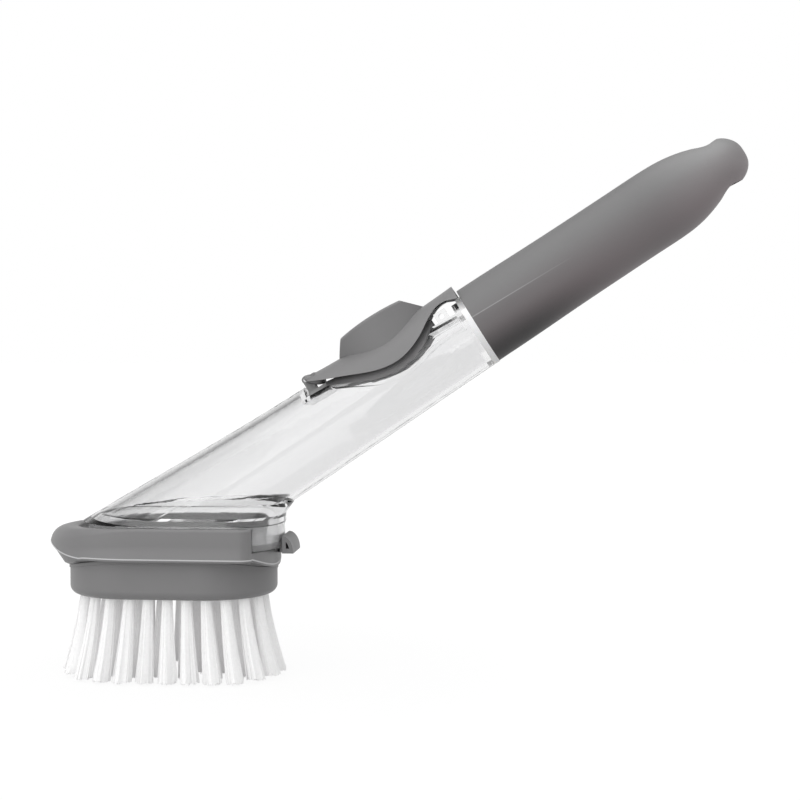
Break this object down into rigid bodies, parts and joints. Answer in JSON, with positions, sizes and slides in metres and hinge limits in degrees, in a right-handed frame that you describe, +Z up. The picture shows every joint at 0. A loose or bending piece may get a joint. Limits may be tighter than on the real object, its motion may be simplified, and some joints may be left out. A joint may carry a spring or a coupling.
{
  "type": "dish wand",
  "caption": "Soap-dispensing dish brush: slanted clear reservoir, screw-on dark grip, press lever over a pump diaphragm, and an oval bristle head hooked at its nose and latched behind.",
  "frame": {"origin": "middle of the scrubbing face, where the bristle tips end", "axes": "+X from the nose of the head towards the grip, +Y across the wand, +Z up out of the scrubbing face; the picture looks along +Y"},
  "size_m": [0.2558, 0.0512, 0.1965],
  "materials": {
    "clear_plastic": "gloss",
    "clear_seal": "satin",
    "silicone": "matte",
    "grey_plastic": "satin",
    "grey_rubber": "matte",
    "grip_plastic": "satin",
    "inner_plastic": "satin",
    "white_nylon": "satin",
    "steel": "satin"
  },
  "bodies": {
    "reservoir": {"reservoir": "clear_plastic", "foot_tray": "clear_plastic", "outlet_valve": "silicone", "valve_ring": "inner_plastic", "pump_seat": "grey_plastic", "pump_diaphragm": "grey_rubber", "lever_bracket": "grey_plastic", "lever_pin": "steel", "neck_o_ring": "silicone"},
    "grip_seal": {"grip_seal": "clear_seal"},
    "grip": {"grip": "grip_plastic", "grip_bush": "inner_plastic"},
    "press_lever": {"press_lever": "grey_plastic", "thumb_pad": "grey_plastic"},
    "brush_head": {"head_shoe": "grey_plastic", "head_gasket": "silicone", "brush_block": "grey_plastic", "tuft_staples": "steel", "bristles": "white_nylon"},
    "latch": {"latch_tab": "grey_plastic"}
  },
  "joints": [
    {"name": "lever_press", "type": "hinge", "parent": "reservoir", "child": "press_lever", "pos_m": [0.05091, 0, 0.1098], "axis": [0, 1, 0], "range_deg": [0, 2.8], "stiffness_Nm_per_rad": 2, "deforming": ["pump_diaphragm"]},
    {"name": "seal_back_off", "type": "slide", "parent": "reservoir", "child": "grip_seal", "axis": [0.8462, 0, 0.5329], "range_m": [0, 0.009]},
    {"name": "grip_unscrew", "type": "hinge", "parent": "grip_seal", "child": "grip", "pos_m": [0.1139, 0, 0.1295], "axis": [0.8462, 0, 0.5329], "range_deg": [0, 540]},
    {"name": "head_release", "type": "hinge", "parent": "reservoir", "child": "brush_head", "pos_m": [-0.038, 0, 0.0534], "axis": [0, 1, 0], "range_deg": [0, 28], "deforming": ["latch_tab"]},
    {"name": "latch_flex", "type": "hinge", "parent": "brush_head", "child": "latch", "pos_m": [0.0412, 0, 0.0472], "axis": [0, 1, 0], "range_deg": [0, 10], "stiffness_Nm_per_rad": 0.3}
  ],
  "couplings": [
    {"joint": "seal_back_off", "follows": "grip_unscrew", "m_per_rad": 0.00095493}
  ]
}
